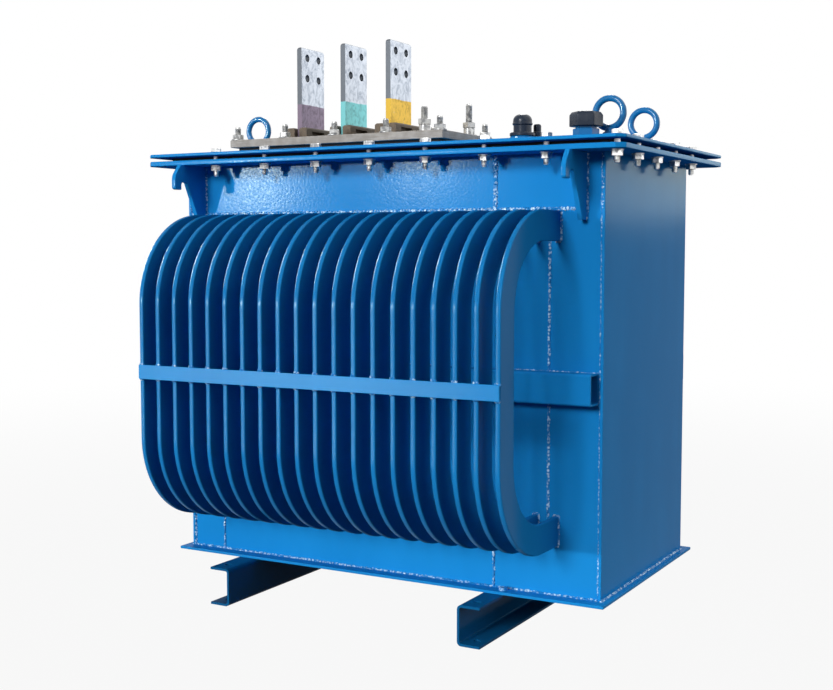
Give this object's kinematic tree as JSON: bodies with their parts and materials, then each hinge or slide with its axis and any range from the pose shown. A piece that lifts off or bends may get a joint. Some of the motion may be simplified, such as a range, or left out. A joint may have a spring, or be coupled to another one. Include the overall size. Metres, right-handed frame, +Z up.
{
  "type": "furnace transformer",
  "caption": "Furnace transformer: welded oil tank on channel skids, bent flat cooling tubes along both long sides, bolted cover with terminal board, bare busbars, filler and lifting rings.",
  "frame": {"origin": "on the floor, under the middle of the tank and its cover", "axes": "+X along the tank to the right as seen from the front, +Y to the back, +Z up"},
  "size_m": [1.098, 1.023, 1.191],
  "materials": {
    "blue_paint": "gloss",
    "black_rubber": "matte",
    "laminate": "matte",
    "laminate_block": "matte",
    "tinned_left": "satin",
    "tinned_middle": "satin",
    "tinned_right": "satin",
    "plated_steel": "satin",
    "black_plastic": "satin"
  },
  "bodies": {
    "root": {"left_skid": "blue_paint", "right_skid": "blue_paint", "base_plate": "blue_paint", "front_wall": "blue_paint", "back_wall": "blue_paint", "left_wall": "blue_paint", "right_wall": "blue_paint", "rim_flange": "blue_paint", "cover": "blue_paint", "terminal_collar": "blue_paint", "lifting_rings": "blue_paint", "cover_sockets": "blue_paint", "front_tubes_1": "blue_paint", "front_tubes_2": "blue_paint", "front_tubes_3": "blue_paint", "front_tubes_4": "blue_paint", "front_tube_strap": "blue_paint", "front_stiffener": "blue_paint", "front_left_lug": "blue_paint", "front_right_lug": "blue_paint", "back_tubes_1": "blue_paint", "back_tubes_2": "blue_paint", "back_tubes_3": "blue_paint", "back_tubes_4": "blue_paint", "back_tube_strap": "blue_paint", "back_stiffener": "blue_paint", "back_left_lug": "blue_paint", "back_right_lug": "blue_paint", "rim_gasket": "black_rubber", "board_gasket": "black_rubber", "terminal_board": "laminate", "left_bar_clamp": "laminate_block", "middle_bar_clamp": "laminate_block", "right_bar_clamp": "laminate_block", "left_busbar": "tinned_left", "middle_busbar": "tinned_middle", "right_busbar": "tinned_right", "terminal_studs": "plated_steel", "cover_caps": "black_plastic"}
  },
  "joints": []
}
